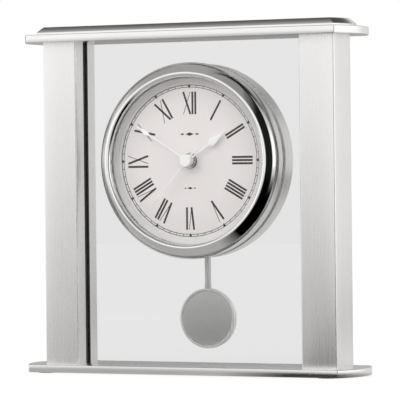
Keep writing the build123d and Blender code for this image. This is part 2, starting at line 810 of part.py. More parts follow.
with BuildPart() as motor_coil:
    bar_x = stator_left + stator_bar / 2
    coil_bottom = head_height + stator_bar_bottom + 0.2
    with BuildSketch(Plane.XY.offset(coil_bottom)):
        with Locations((bar_x, 5.7)):
            Circle(3.3)
            Rectangle(stator_bar, 1.0, mode=Mode.SUBTRACT)
    extrude(amount=stator_bar_top - stator_bar_bottom - 0.4)
finish(motor_coil.part, "motor_coil")

with BuildPart() as pendulum_coil:
    extrude(disc(coil_rear, coil_place, 7.0, coil_core_radius + running_play), amount=coil_front - coil_rear)
finish(pendulum_coil.part, "pendulum_coil")

board_rear = middle_plate_rear - 1.0
with BuildPart() as circuit_board:
    extrude(block(board_rear, (17.0, -25.25), 17.0, 16.5), amount=1.0)
    extrude(disc(board_rear - 1.0, (13.0, -24.0), 2.5), amount=1.0)
finish(circuit_board.part, "circuit_board")

with BuildPart() as quartz_crystal:
    with BuildSketch(Plane.XY.offset(head_height - 31.0)):
        with Locations((20.0, -board_rear + 1.5)):
            Circle(1.5)
    extrude(amount=8.0)
finish(quartz_crystal.part, "quartz_crystal")

contact_right = cavity_width / 2 - contact_thickness
battery_end = contact_right - battery_length
with BuildPart() as battery:
    battery_axis = Plane(origin=(battery_end, -battery_forward, head_height + battery_height), z_dir=(1, 0, 0))
    with BuildSketch(battery_axis):
        Circle(battery_radius)
    extrude(amount=battery_length - battery_nub)
    fillet(battery.edges().filter_by(GeomType.CIRCLE), 0.6)
    with BuildSketch(battery_axis.offset(battery_length - battery_nub)):
        Circle(battery_nub_radius)
    extrude(amount=battery_nub)
finish(battery.part, "battery")

with BuildPart() as positive_contact:
    contact_plane = Plane(origin=(contact_right, -battery_forward, head_height + battery_height), z_dir=(1, 0, 0))
    with BuildSketch(contact_plane):
        Rectangle(9, 9)
    extrude(amount=contact_thickness)
finish(positive_contact.part, "positive_contact")

with BuildPart() as negative_contact:
    wall_x = -cavity_width / 2
    low = battery_height - 4.5
    leaf = [
        (wall_x, low),
        (wall_x + contact_thickness, low),
        (wall_x + contact_thickness, low + 1.5),
        (battery_end, battery_height - 0.4),
        (battery_end, battery_height + 0.4),
        (wall_x + 1.2, low + 8),
        (wall_x + 0.7, low + 8),
        (battery_end - contact_thickness, battery_height),
        (wall_x, low + 2.2),
    ]
    with BuildSketch(head_plane.offset(battery_forward - 3)):
        with BuildLine():
            Polyline(*leaf, close=True)
        make_face()
    extrude(amount=6)
finish(negative_contact.part, "negative_contact")

# ---- pendulum ----
hanger_rear = hanger_front - hanger_thickness
rod_rear = rod_forward - rod_radius
pin_rear = hanger_rear - 0.8

with BuildPart() as hanger_pin:
    extrude(disc(pin_rear, pivot, pin_radius), amount=movement_rear + movement_wall + 1 - pin_rear)
    extrude(disc(pin_rear, pivot, pin_head_radius), amount=hanger_rear - 0.2 - pin_rear)
finish(hanger_pin.part, "hanger_pin")

with BuildPart() as pendulum_hanger:
    with BuildSketch(head_plane.offset(hanger_rear)):
        with Locations(pivot):
            Circle(hanger_half_width)
        with Locations(magnet_place):
            Circle(magnet_radius + 1.5)
        with Locations((0, -pivot_drop - hanger_length / 2)):
            Rectangle(2 * hanger_half_width, hanger_length)
    extrude(amount=hanger_thickness)
    extrude(disc(rod_rear - 0.5, peg_place, peg_radius), amount=hanger_rear - rod_rear + 0.5)
    extrude(disc(hanger_rear, pivot, pin_radius + running_play), amount=hanger_thickness, mode=Mode.SUBTRACT)
    extrude(disc(magnet_rear, magnet_place, magnet_radius), amount=hanger_front - magnet_rear, mode=Mode.SUBTRACT)
finish(pendulum_hanger.part, "pendulum_hanger")

with BuildPart() as pendulum_magnet:
    extrude(disc(magnet_rear, magnet_place, magnet_radius), amount=magnet_front - magnet_rear)
finish(pendulum_magnet.part, "pendulum_magnet")

disc_radius = bob_radius - bob_rim_width
rod_bottom = head_height + bob_place[1] + bob_radius
with BuildPart() as pendulum_rod:
    with BuildSketch(Plane.XY.offset(rod_bottom)):
        with Locations((0, -rod_forward)):
            Circle(rod_radius)
    extrude(amount=head_height + peg_place[1] + rod_past_peg - rod_bottom)
    with BuildSketch(Plane.XY.offset(rod_bottom)):
        with Locations((0, -rod_forward)):
            Circle(rod_spigot_radius)
    extrude(amount=-rod_spigot)
    cross_hole = disc(rod_rear, peg_place, peg_radius)
    extrude(cross_hole, amount=2 * rod_radius, mode=Mode.SUBTRACT)
finish(pendulum_rod.part, "pendulum_rod")

with BuildPart() as bob_rim:
    extrude(disc(bob_front - bob_thickness, bob_place, bob_radius, disc_radius), amount=bob_thickness)
    fillet(bob_rim.edges().filter_by(GeomType.CIRCLE).group_by(SortBy.RADIUS)[-1], bob_edge_radius)
    with BuildSketch(Plane.XY.offset(rod_bottom)):
        with Locations((0, -rod_forward)):
            Circle(rod_spigot_radius)
    extrude(amount=-2 * bob_rim_width, mode=Mode.SUBTRACT)
finish(bob_rim.part, "bob_rim")

with BuildPart() as bob_disc:
    extrude(disc(bob_front - bob_recess, bob_place, disc_radius), amount=-bob_sheet)
finish(bob_disc.part, "bob_disc")

with BuildPart() as bob_back:
    extrude(disc(bob_front - bob_thickness + bob_recess, bob_place, disc_radius), amount=bob_sheet)
finish(bob_back.part, "bob_back")


# ---- hands ----
# A blade from stations along it, each a distance from the centre and a half width.
def hand_blade(forward, stations, angle):
    heading = 90 - angle
    spine = [(from_centre(centre_arbor, along, heading), half) for along, half in stations]
    right = [from_centre(place, half, heading - 90) for place, half in spine]
    left = [from_centre(place, half, heading + 90) for place, half in reversed(spine)]
    with BuildSketch(head_plane.offset(forward)) as face:
        with BuildLine():
            Polyline(*right, *left, close=True)
        make_face()
    return face.sketch


with BuildPart() as hour_hand:
    extrude(hand_blade(hour_hand_forward, hour_stations, hour_angle), amount=hand_thickness)
    collet_back = bushing_front + 0.2
    extrude(disc(collet_back, centre_arbor, 3.4), amount=hour_hand_forward + hand_thickness - collet_back)
    bore = disc(collet_back, centre_arbor, hour_pipe_radius)
    extrude(bore, amount=hour_hand_forward + hand_thickness - collet_back, mode=Mode.SUBTRACT)
finish(hour_hand.part, "hour_hand")

with BuildPart() as minute_hand:
    extrude(hand_blade(minute_hand_forward, minute_stations, minute_angle), amount=hand_thickness)
    collet_back = hour_hand_forward + hand_thickness + 0.3
    extrude(disc(collet_back, centre_arbor, 3.0), amount=minute_hand_forward + hand_thickness - collet_back)
    bore = disc(collet_back, centre_arbor, cannon_radius)
    extrude(bore, amount=minute_hand_forward + hand_thickness - collet_back, mode=Mode.SUBTRACT)
finish(minute_hand.part, "minute_hand")

with BuildPart() as second_hand:
    extrude(hand_blade(second_hand_forward, second_stations, second_angle), amount=second_hand_thickness)
    extrude(disc(second_hand_forward, centre_arbor, hub_radius), amount=hub_front - second_hand_forward)
    fillet(second_hand.faces().sort_by(Axis.Y)[0].edges(), 0.3)
    bore = disc(second_hand_forward, centre_arbor, second_arbor_radius)
    extrude(bore, amount=hub_front - 1 - second_hand_forward, mode=Mode.SUBTRACT)
finish(second_hand.part, "second_hand")
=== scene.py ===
import math
import bpy
from mathutils import Matrix, Vector


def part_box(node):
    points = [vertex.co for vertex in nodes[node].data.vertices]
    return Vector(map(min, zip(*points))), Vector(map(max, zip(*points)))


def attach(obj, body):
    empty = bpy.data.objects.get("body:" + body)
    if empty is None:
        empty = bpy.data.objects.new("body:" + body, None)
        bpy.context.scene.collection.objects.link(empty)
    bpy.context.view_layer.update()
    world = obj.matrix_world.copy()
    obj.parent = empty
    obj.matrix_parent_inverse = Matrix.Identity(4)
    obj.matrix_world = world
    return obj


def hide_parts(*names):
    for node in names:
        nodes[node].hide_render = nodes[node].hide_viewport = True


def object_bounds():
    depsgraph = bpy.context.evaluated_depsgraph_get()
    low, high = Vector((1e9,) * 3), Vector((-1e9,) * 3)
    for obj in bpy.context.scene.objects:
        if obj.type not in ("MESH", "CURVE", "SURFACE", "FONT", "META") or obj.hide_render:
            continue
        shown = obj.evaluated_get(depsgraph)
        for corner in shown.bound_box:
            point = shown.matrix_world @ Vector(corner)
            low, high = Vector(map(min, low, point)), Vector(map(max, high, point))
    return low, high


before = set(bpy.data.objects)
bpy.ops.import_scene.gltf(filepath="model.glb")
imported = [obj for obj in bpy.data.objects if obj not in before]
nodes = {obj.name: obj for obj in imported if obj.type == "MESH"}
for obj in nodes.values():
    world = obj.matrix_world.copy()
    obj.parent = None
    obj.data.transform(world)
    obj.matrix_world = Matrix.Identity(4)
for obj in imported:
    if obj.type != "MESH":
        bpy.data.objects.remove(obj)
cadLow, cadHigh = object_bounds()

mm = 0.001


# Where things are, read from the frame.
def boxOf(node):
    low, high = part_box(node)
    return low, high, (low + high) / 2


dialLow, dialHigh, dialMiddle = boxOf("dial_plate")
headZ = dialMiddle.z
dialFront = dialLow.y


def reach(node):
    low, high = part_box(node)
    return (high.z - low.z) / 2  # the outer radius of a round node


def deselect():
    if bpy.context.object and bpy.context.object.mode != "OBJECT":
        bpy.ops.object.mode_set(mode="OBJECT")
    bpy.ops.object.select_all(action="DESELECT")


def begin(name):
    piece = bpy.context.object
    piece.name = name
    piece.data.name = name
    bpy.ops.object.transform_apply(location=True, rotation=True, scale=True)
    return piece


def edit(selectAll=False):
    bpy.ops.object.mode_set(mode="EDIT")
    bpy.ops.mesh.select_all(action="SELECT" if selectAll else "DESELECT")


def leave():
    bpy.ops.object.mode_set(mode="OBJECT")


def pickFaces(piece, test):
    bpy.ops.object.mode_set(mode="EDIT")
    bpy.ops.mesh.select_mode(type="FACE")
    leave()
    for face in piece.data.polygons:
        face.select = bool(test(face.center, face.normal))
    bpy.ops.object.mode_set(mode="EDIT")


def pickEdges(piece, test):
    bpy.ops.object.mode_set(mode="EDIT")
    bpy.ops.mesh.select_mode(type="EDGE")
    leave()
    points = piece.data.vertices
    for edge in piece.data.edges:
        a, b = points[edge.vertices[0]].co, points[edge.vertices[1]].co
        edge.select = bool(test(a, b))
    for face in piece.data.polygons:
        face.select = False
    bpy.ops.object.mode_set(mode="EDIT")


def pickPoints(piece, test):
    bpy.ops.object.mode_set(mode="EDIT")
    bpy.ops.mesh.select_mode(type="VERT")
    bpy.ops.mesh.select_all(action="DESELECT")
    leave()
    for point in piece.data.vertices:
        point.select = bool(test(point.co))
    bpy.ops.object.mode_set(mode="EDIT")


def applyModifiers(piece):
    bpy.context.view_layer.objects.active = piece
    for modifier in list(piece.modifiers):
        bpy.ops.object.modifier_apply(modifier=modifier.name)


def smooth(piece, angle=32):
    deselect()
    piece.select_set(True)
    bpy.context.view_layer.objects.active = piece
    bpy.ops.object.shade_smooth_by_angle(angle=math.radians(angle))


def bevelEdges(piece, width, segments=3, angle=40):
    modifier = piece.modifiers.new("edges", "BEVEL")
    modifier.width = width
    modifier.segments = segments
    modifier.limit_method = "ANGLE"
    modifier.angle_limit = math.radians(angle)
    applyModifiers(piece)


def hand(piece, body, slot, material, *replaced):
    piece.data.materials.clear()
    piece.data.materials.append(material)
    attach(piece, body)
    if replaced:
        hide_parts(*replaced)


def arc(centre, radius, start, end, count):
    turn = (end - start) / count
    return [
        (centre[0] + radius * math.cos(math.radians(start + turn * i)),
         centre[1] + radius * math.sin(math.radians(start + turn * i)))
        for i in range(count + 1)
    ]


# A turned piece: one vertex is drawn along the section (radius, y), then spun round the axis.
def turned(name, section, steps=160, closed=True, axisZ=None):
    height = headZ if axisZ is None else axisZ
    deselect()
    bpy.ops.mesh.primitive_plane_add(size=mm, location=(0, 0, 0))
    piece = begin(name)
    edit(True)
    bpy.ops.mesh.select_mode(type="VERT")
    bpy.ops.mesh.merge(type="CENTER")
    start = section[0]
    bpy.ops.transform.translate(value=(start[0], start[1], height))
    path = list(section[1:]) + ([section[0]] if closed else [])
    last = start
    for point in path:
        step = (point[0] - last[0], point[1] - last[1], 0)
        bpy.ops.mesh.extrude_region_move(TRANSFORM_OT_translate={"value": step})
        last = point
    bpy.ops.mesh.select_all(action="SELECT")
    bpy.ops.mesh.remove_doubles(threshold=1e-7)
    bpy.ops.mesh.select_all(action="SELECT")
    bpy.ops.mesh.spin(steps=steps, angle=2 * math.pi, center=(0, 0, height), axis=(0, 1, 0))
    bpy.ops.mesh.select_all(action="SELECT")
    bpy.ops.mesh.remove_doubles(threshold=2e-6)
    bpy.ops.mesh.select_all(action="SELECT")
    bpy.ops.mesh.normals_make_consistent(inside=False)
    leave()
    smooth(piece)
    return piece


# A socket that can be used in sums.
class Wire:
    def __init__(self, tree, socket):
        self.tree = tree
        self.socket = socket

    def maths(self, operation, other=None, swapped=False):
        node = self.tree.nodes.new("ShaderNodeMath")
        node.operation = operation
        values = [self] if other is None else ([other, self] if swapped else [self, other])
        for slot, value in zip(node.inputs, values):
            feed(self.tree, slot, value)
        return Wire(self.tree, node.outputs[0])  # one Math node per operator

    def __add__(self, other): return self.maths("ADD", other)
    def __radd__(self, other): return self.maths("ADD", other, True)
    def __sub__(self, other): return self.maths("SUBTRACT", other)
    def __rsub__(self, other): return self.maths("SUBTRACT", other, True)
    def __mul__(self, other): return self.maths("MULTIPLY", other)
    def __rmul__(self, other): return self.maths("MULTIPLY", other, True)
    def __truediv__(self, other): return self.maths("DIVIDE", other)
    def __pow__(self, other): return self.maths("POWER", other)


def feed(tree, slot, value):
    if isinstance(value, Wire):
        tree.links.new(value.socket, slot)
    elif hasattr(slot.default_value, "__len__") and not hasattr(value, "__len__"):
        slot.default_value = [value] * len(slot.default_value)
    elif hasattr(value, "__len__") and len(value) == 3 and len(slot.default_value) == 4:
        slot.default_value = (*value, 1.0)
    else:
        slot.default_value = value


class Nodes:
    def __init__(self, tree):
        self.tree = tree

    def add(self, kind, settings=None, inputs=None, take=0):
        node = self.tree.nodes.new(kind)
        for key, value in (settings or {}).items():
            if key == "stops":
                ramp = node.color_ramp
                while len(ramp.elements) < len(value):
                    ramp.elements.new(0.5)
                for element, (position, shade) in zip(ramp.elements, value):
                    element.position = position
                    element.color = (*shade, 1.0) if hasattr(shade, "__len__") else (shade, shade, shade, 1.0)
            else:
                setattr(node, key, value)
        for key, value in (inputs or {}).items():
            feed(self.tree, node.inputs[key], value)
        return Wire(self.tree, node.outputs[take])

    def place(self):
        return self.add("ShaderNodeTexCoord", take="Object")

    def split(self, vector):
        node = self.tree.nodes.new("ShaderNodeSeparateXYZ")
        feed(self.tree, node.inputs[0], vector)
        return [Wire(self.tree, out) for out in node.outputs]

    def noise(self, vector, scale, detail=3.0, rough=0.55):
        inputs = {"Vector": vector, "Scale": scale, "Detail": detail, "Roughness": rough}
        return self.add("ShaderNodeTexNoise", {"noise_dimensions": "3D"}, inputs)

    def stretch(self, vector, scale):
        return self.add("ShaderNodeMapping", None, {"Vector": vector, "Scale": scale})

    def ramp(self, value, stops):
        return self.add("ShaderNodeValToRGB", {"stops": stops}, {"Fac": value})

    def blend(self, factor, first, second):
        inputs = {0: factor, 6: first, 7: second}
        return self.add("ShaderNodeMix", {"data_type": "RGBA"}, inputs, take=2)

    def limits(self, value, low, high, toLow, toHigh):
        inputs = {"Value": value, 1: low, 2: high, 3: toLow, 4: toHigh}
        return self.add("ShaderNodeMapRange", {"clamp": True}, inputs)

    def bump(self, height, strength, distance):
        inputs = {"Height": height, "Strength": strength, "Distance": distance}
        return self.add("ShaderNodeBump", None, inputs)


class Finish(Nodes):
    def __init__(self, name, **fixed):
        self.material = bpy.data.materials.new(name)
        self.material.use_nodes = True
        super().__init__(self.material.node_tree)
        self.tree.nodes.clear()
        self.output = self.tree.nodes.new("ShaderNodeOutputMaterial")
        self.shader = self.tree.nodes.new("ShaderNodeBsdfPrincipled")
        self.tree.links.new(self.shader.outputs[0], self.output.inputs[0])
        for key, value in fixed.items():
            feed(self.tree, self.shader.inputs[key.replace("_", " ")], value)

    def put(self, **links):
        for key, value in links.items():
            feed(self.tree, self.shader.inputs[key.replace("_", " ")], value)
        return self.material


# Metal brushed along one axis: long streaks in tone, gloss and height.
def brushedMetal(name, colour, along, rough, lines=2200.0, depth=0.06, spread=0.04):
    finish = Finish(name, Metallic=1.0)
    place = finish.place()
    squeeze = {"x": (0.008, 1, 1), "y": (1, 0.008, 1), "z": (1, 1, 0.008)}[along]
    streaks = finish.noise(finish.stretch(place, squeeze), lines, 4.0, 0.7)
    cloud = finish.noise(place, 28.0, 2.0)
    shade = finish.limits(streaks, 0.25, 0.75, 0.95, 1.02) * finish.limits(cloud, 0.3, 0.7, 0.985, 1.01)
    tone = finish.add("ShaderNodeVectorMath", {"operation": "SCALE"}, {0: colour, "Scale": shade})
    roughness = finish.limits(streaks, 0.3, 0.7, rough - spread, rough + spread) + (cloud - 0.5) * 0.05
    normal = finish.bump(streaks, depth, 0.00002)
    return finish.put(Base_Color=tone, Roughness=roughness, Normal=normal)


# Metal brushed in circles round an axis along y.
def roundBrushed(name, colour, rough, centreX, centreZ, lines=2600.0, depth=0.25):
    finish = Finish(name, Metallic=1.0)
    place = finish.place()
    x, y, z = finish.split(place)
    dx, dz = x - centreX, z - centreZ
    radius = (dx * dx + dz * dz) ** 0.5
    ring = finish.add("ShaderNodeCombineXYZ", None, {"X": radius, "Y": y, "Z": 0.0})
    streaks = finish.noise(ring, lines, 3.0, 0.7)
    cloud = finish.noise(place, 60.0, 2.0)
    shade = finish.limits(streaks, 0.25, 0.75, 0.92, 1.04)
    tone = finish.add("ShaderNodeVectorMath", {"operation": "SCALE"}, {0: colour, "Scale": shade})
    roughness = finish.limits(streaks, 0.3, 0.7, rough - 0.05, rough + 0.05) + (cloud - 0.5) * 0.04
    return finish.put(Base_Color=tone, Roughness=roughness, Normal=finish.bump(streaks, depth, 0.00002))


def polishedMetal(name, colour, rough=0.05, metallic=1.0):
    finish = Finish(name, Metallic=metallic)
    place = finish.place()
    smudge = finish.noise(place, 45.0, 4.0, 0.6)
    hairs = finish.noise(finish.stretch(place, (1, 0.15, 1)), 700.0, 2.0)
    roughness = finish.limits(smudge, 0.35, 0.75, rough, rough + 0.05) + finish.limits(hairs, 0.6, 0.8, 0.0, 0.02)
    tone = finish.blend(finish.limits(smudge, 0.3, 0.7, 0.0, 1.0), colour, [c * 0.97 for c in colour])
    return finish.put(Base_Color=tone, Roughness=roughness, Normal=finish.bump(smudge, 0.02, 0.00002))


def plainPlastic(name, colour, rough=0.45, grain=1500.0, depth=0.15, **fixed):
    finish = Finish(name, **fixed)
    place = finish.place()
    pebbles = finish.noise(place, grain, 2.0)
    cloud = finish.noise(place, 70.0, 3.0)
    worn = [min(1.0, c * 1.12 + 0.004) for c in colour]
    tone = finish.blend(finish.limits(cloud, 0.3, 0.7, 0.0, 1.0), colour, worn)
    roughness = finish.limits(pebbles, 0.3, 0.7, rough - 0.06, rough + 0.08)
    return finish.put(Base_Color=tone, Roughness=roughness, Normal=finish.bump(pebbles, depth, 0.00003))


def feltCloth(name, colour):
    finish = Finish(name, Sheen_Weight=0.6, Sheen_Roughness=0.5)
    place = finish.place()
    fibre = finish.noise(finish.stretch(place, (1, 1, 3)), 2600.0, 5.0, 0.75)
    tone = finish.blend(finish.limits(fibre, 0.3, 0.7, 0.0, 1.0), colour, [c * 2.4 for c in colour])
    return finish.put(Base_Color=tone, Roughness=finish.limits(fibre, 0.2, 0.8, 0.8, 0.98),
                      Normal=finish.bump(fibre, 0.6, 0.0001))


# Clear glass: the light passes straight through, tinted a little, and the gloss grows at a slant.
def clearGlass(name, tint, gloss=1.5):
    finish = Finish(name)
    tree = finish.tree
    tree.nodes.remove(finish.shader)
    through = tree.nodes.new("ShaderNodeBsdfTransparent")
    feed(tree, through.inputs["Color"], tint)
    shine = tree.nodes.new("ShaderNodeBsdfGlossy")
    feed(tree, shine.inputs["Color"], (1, 1, 1))
    place = finish.place()
    film = finish.noise(place, 35.0, 4.0)
    feed(tree, shine.inputs["Roughness"], finish.limits(film, 0.3, 0.8, 0.0, 0.03))
    edgeOn = finish.add("ShaderNodeLayerWeight", None, {"Blend": 0.5}, take="Facing")
    square = ((gloss - 1) / (gloss + 1)) ** 2  # what a face seen square on mirrors
    slant = edgeOn ** 5 * (1 - square) + square
    mix = tree.nodes.new("ShaderNodeMixShader")
    feed(tree, mix.inputs[0], slant * finish.limits(film, 0.3, 0.8, 0.97, 1.0))
    tree.links.new(through.outputs[0], mix.inputs[1])
    tree.links.new(shine.outputs[0], mix.inputs[2])
    tree.links.new(mix.outputs[0], finish.output.inputs[0])
    return finish.material


def dialLacquer(name, colour):
    finish = Finish(name, Coat_Roughness=0.2)
    place = finish.place()
    x, y, z = finish.split(place)
    dz = z - headZ
    grain = finish.noise(place, 3200.0, 3.0, 0.6)
    radius = (x * x + dz * dz) ** 0.5
    # Painted shade: the lacquer is darkened from 28 mm out to the rim, where the rehaut and bezel shade the recessed
    # dial.
    edge = finish.limits(radius, 0.028, 0.0455, 0.0, 1.0)
    tone = finish.blend(edge, colour, [c * 0.93 for c in colour])
    return finish.put(Base_Color=tone, Roughness=finish.limits(grain, 0.3, 0.7, 0.42, 0.52),
                      Coat_Weight=finish.limits(grain, 0.3, 0.7, 0.12, 0.2),
                      Normal=finish.bump(grain, 0.05, 0.00001))


alloy = (0.90, 0.89, 0.88)
postMetal = brushedMetal("satinPosts", alloy, "z", 0.27)
plateMetal = brushedMetal("satinPlates", alloy, "x", 0.22)
capMetal = brushedMetal("satinCap", alloy, "x", 0.20, depth=0.15)
drumMetal = roundBrushed("satinDrum", alloy, 0.25, 0.0, headZ)
bobMetal = roundBrushed("satinBob", (0.84, 0.84, 0.83), 0.36, 0.0, boxOf("bob_disc")[2].z)
rehautMetal = plainPlastic("grainedRehaut", (0.66, 0.655, 0.65), 0.5, 2600.0, 0.9, Specular_IOR_Level=0.6)
chrome = polishedMetal("polishedBezel", (0.90, 0.895, 0.885), 0.05)
rodChrome = polishedMetal("polishedRod", (0.98, 0.98, 0.97), 0.16, 0.35)
rimChrome = polishedMetal("polishedRim", (0.98, 0.98, 0.97), 0.10, 0.20)
steel = brushedMetal("zincSteel", (0.62, 0.62, 0.62), "y", 0.35, lines=2200.0)
nickel = polishedMetal("nickelNut", (0.60, 0.60, 0.60), 0.2)
brass = roundBrushed("turnedBrass", (0.76, 0.58, 0.30), 0.26, 0.0, headZ)
handPaint = plainPlastic("handEnamel", (0.90, 0.90, 0.895), 0.28, 2200.0, 0.03, Metallic=0.0, Coat_Roughness=0.1)
panelGlass = clearGlass("panelGlass", (0.885, 0.885, 0.885), 1.4)
crystalGlass = clearGlass("crystalGlass", (0.99, 0.99, 0.99), 1.16)
paleSilicone = plainPlastic("paleSilicone", (0.90, 0.91, 0.91), 0.4, 900.0, 0.1)
sealRubber = plainPlastic("sealRubber", (0.022, 0.022, 0.022), 0.55, 1800.0, 0.3)
dialWhite = dialLacquer("dialLacquer", (0.86, 0.82, 0.81))
printInk = plainPlastic("printInk", (0.035, 0.033, 0.033), 0.5, 4000.0, 0.1)
blackPlastic = plainPlastic("caseMoulding", (0.030, 0.030, 0.032), 0.42)
greyPlastic = plainPlastic("plateMoulding", (0.20, 0.21, 0.23), 0.45)
gearPlastic = plainPlastic("gearMoulding", (0.80, 0.78, 0.72), 0.40)
copper = brushedMetal("windingWire", (0.72, 0.34, 0.17), "z", 0.30, lines=3500.0, depth=0.8)
ironDark = brushedMetal("stampedIron", (0.30, 0.30, 0.31), "x", 0.42, lines=1800.0)
boardGreen = plainPlastic("boardMask", (0.02, 0.16, 0.07), 0.3, 900.0, 0.2, Coat_Weight=0.4)
cellWrap = plainPlastic("cellSleeve", (0.035, 0.04, 0.06), 0.25, 900.0, 0.05, Coat_Weight=0.5)
felt = feltCloth("feltPad", (0.03, 0.03, 0.03))
print("materials made")


plate = {"bow": 8.2 * mm, "edge": 0.35 * mm, "facets": 512}
cap = {"lip": 1.4 * mm, "inset": 3.3 * mm, "edge": 0.25 * mm, "steps": 6, "cove": 0.82}


# One bowed end is cut from a drum, drawn out to the middle, and mirrored.
def bowedBlock(name, low, high, depth, width, bow, edge):
    half = depth / 2
    radius = (half ** 2 + bow ** 2) / (2 * bow)
    centre = width / 2 - radius
    deselect()
    bpy.ops.mesh.primitive_cylinder_add(vertices=plate["facets"], radius=radius, depth=high - low,
                                        location=(centre, 0, (low + high) / 2))
    piece = begin(name)
    for side in (1, -1):
        edit(True)
        bpy.ops.mesh.bisect(plane_co=(centre, side * half, low), plane_no=(0, side, 0), use_fill=True,
                            clear_outer=True)
        leave()
    cut = centre + radius * 0.6
    edit(True)
    bpy.ops.mesh.bisect(plane_co=(cut, 0, low), plane_no=(-1, 0, 0), use_fill=True, clear_outer=True)
    pickFaces(piece, lambda c, n: n.x < -0.9)
    bpy.ops.transform.translate(value=(-cut, 0, 0))
    bpy.ops.mesh.delete(type="ONLY_FACE")
    leave()
    mirror = piece.modifiers.new("otherEnd", "MIRROR")
    mirror.use_axis[0] = True
    mirror.use_clip = True
    mirror.merge_threshold = 1e-6
    applyModifiers(piece)
    edit(True)
    bpy.ops.mesh.remove_doubles(threshold=1e-6)
    pickFaces(piece, lambda c, n: abs(n.z) > 0.9 or abs(n.y) > 0.999)
    bpy.ops.mesh.dissolve_limited(angle_limit=math.radians(0.5))
    bpy.ops.mesh.select_all(action="SELECT")
    bpy.ops.mesh.normals_make_consistent(inside=False)
    leave()
    if edge:
        bevelEdges(piece, edge, 3)
    return piece


def makePlates():
    for node in ("base_plate", "top_plate"):
        low, high, middle = boxOf(node)
        wide, depth = cadHigh.x - cadLow.x, high.y - low.y
        piece = bowedBlock(node + "_body", low.z, high.z, depth, wide, plate["bow"], plate["edge"])
        smooth(piece)
        hand(piece, "case", "satin_aluminium", plateMetal, node)


def makeCap():
    low, high, middle = boxOf("top_cap")
    lip, inset, steps = cap["lip"], cap["inset"], cap["steps"]
    depth = high.y - low.y
    plateDepth = cadHigh.y - cadLow.y
    gap = (plateDepth - depth) / 2
    radius = ((plateDepth / 2) ** 2 + plate["bow"] ** 2) / (2 * plate["bow"]) - gap
    bow = radius - math.sqrt(radius ** 2 - (depth / 2) ** 2)
    piece = bowedBlock("top_cap_body", low.z, low.z + lip, depth, high.x - low.x, bow, 0)
    pickFaces(piece, lambda c, n: n.z > 0.9)
    rise = high.z - low.z - lip
    wide, deep = high.x, high.y
    for i in range(steps):  # a shallow cove, steep at the lip and flatter at the top
        a0, a1 = i / steps, (i + 1) / steps
        up = rise * (a1 ** cap["cove"] - a0 ** cap["cove"])
        shrink = ((wide - inset * a1) / (wide - inset * a0), (deep - inset * a1) / (deep - inset * a0), 1)
        bpy.ops.mesh.extrude_region_move(TRANSFORM_OT_translate={"value": (0, 0, up)})
        bpy.ops.transform.resize(value=shrink, center_override=(0, 0, 0))
    leave()
    bevelEdges(piece, cap["edge"], 2, 30)
    smooth(piece, 25)
    hand(piece, "case", "satin_aluminium", capMetal, "top_cap")


makePlates()
makeCap()
print("plates and cap made")


post = {"edge": 1.0 * mm, "edgeSteps": 6, "groove": 4.0 * mm}


def makePosts():
    sealLow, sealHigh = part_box("glass_seal_right")
    grooveWidth = sealHigh.y - sealLow.y
    for side, node in ((-1, "post_left"), (1, "post_right")):
        low, high, middle = boxOf(node)
        deselect()
        bpy.ops.mesh.primitive_cube_add(size=1, location=middle)
        bpy.context.object.scale = high - low
        piece = begin(node + "_body")
        edit()
        pickEdges(piece, lambda a, b: abs(a.z - b.z) > 0.1)
        bpy.ops.mesh.bevel(offset=post["edge"], segments=post["edgeSteps"], profile=0.5, affect="EDGES")
        for turn in (1, -1):
            bpy.ops.mesh.select_all(action="SELECT")
            bpy.ops.mesh.bisect(plane_co=(middle.x, turn * grooveWidth / 2, 0), plane_no=(0, 1, 0))
        pickFaces(piece, lambda c, n: n.x * side < -0.99 and abs(c.y) < grooveWidth / 4)
        bpy.ops.mesh.extrude_region_move(TRANSFORM_OT_translate={"value": (side * post["groove"], 0, 0)})
        leave()
        smooth(piece)
        hand(piece, "case", "satin_aluminium", postMetal, node)


makePosts()
print("posts made")


# The ring in front of the glass, from the gasket to the bezel.
ring = {"wall": 6 * mm, "edge": 0.12 * mm}


def makeRing():
    outer, edge = reach("rear_case"), ring["edge"]
    inner = outer - ring["wall"]
    back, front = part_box("case_gasket_front")[0].y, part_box("bezel_ring")[1].y
    section = [(inner, back), (outer - edge, back), (outer, back - edge), (outer, front + edge),
               (outer - edge, front), (inner, front)]
    piece = turned("front_case_ring", section)
    hand(piece, "case", "satin_aluminium", drumMetal, "front_case")


# From the opening outwards: a bead, a slope and a large outer round.
bezel = {"opening": 47.6 * mm, "bore": 49.3 * mm, "lip": (-11.9 * mm, -11.7 * mm), "lipStep": 0.1 * mm,
         "bead": (49.7 * mm, -12.5 * mm), "beadRadius": 2.0 * mm, "slope": 35, "round": 6.0 * mm,
         "edge": 0.05 * mm, "sweep": 55}


def makeBezel():
    outer, back = reach("bezel_ring"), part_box("bezel_ring")[1].y
    bead, small, big, edge = bezel["bead"], bezel["beadRadius"], bezel["round"], bezel["edge"]
    slope = math.radians(bezel["slope"])
    foot = (bead[0] + small * math.sin(slope), bead[1] - small * math.cos(slope))
    start = outer - big + big * math.sin(slope)
    top = foot[1] + (start - foot[0]) * math.tan(slope)
    section = [(outer - edge, back), (outer, back - edge)]
    section += arc((outer - big, top + big * math.cos(slope)), big, 0, -bezel["sweep"], 22)
    section += arc(bead, small, -bezel["sweep"], -180, 24)
    section += [(bezel["opening"], bezel["lip"][0]), (bezel["opening"] + bezel["lipStep"], bezel["lip"][1]),
                (bezel["bore"], bezel["lip"][1]), (bezel["bore"], back)]
    piece = turned("bezel_ring_body", section, 224)
    hand(piece, "case", "polished_chrome", chrome, "bezel_ring")


# Radius and height above the dial, in mm, from the inner edge to the outer.
rehaut = [(43.4, 0), (43.4, 0.45), (43.55, 0.6), (44.7, 0.85), (44.9, 1.0), (44.9, 1.3), (45.05, 1.4),
          (47.1, 2.1), (47.35, 2.3), (47.4, 2.8), (49.1, 2.8), (49.1, 0)]


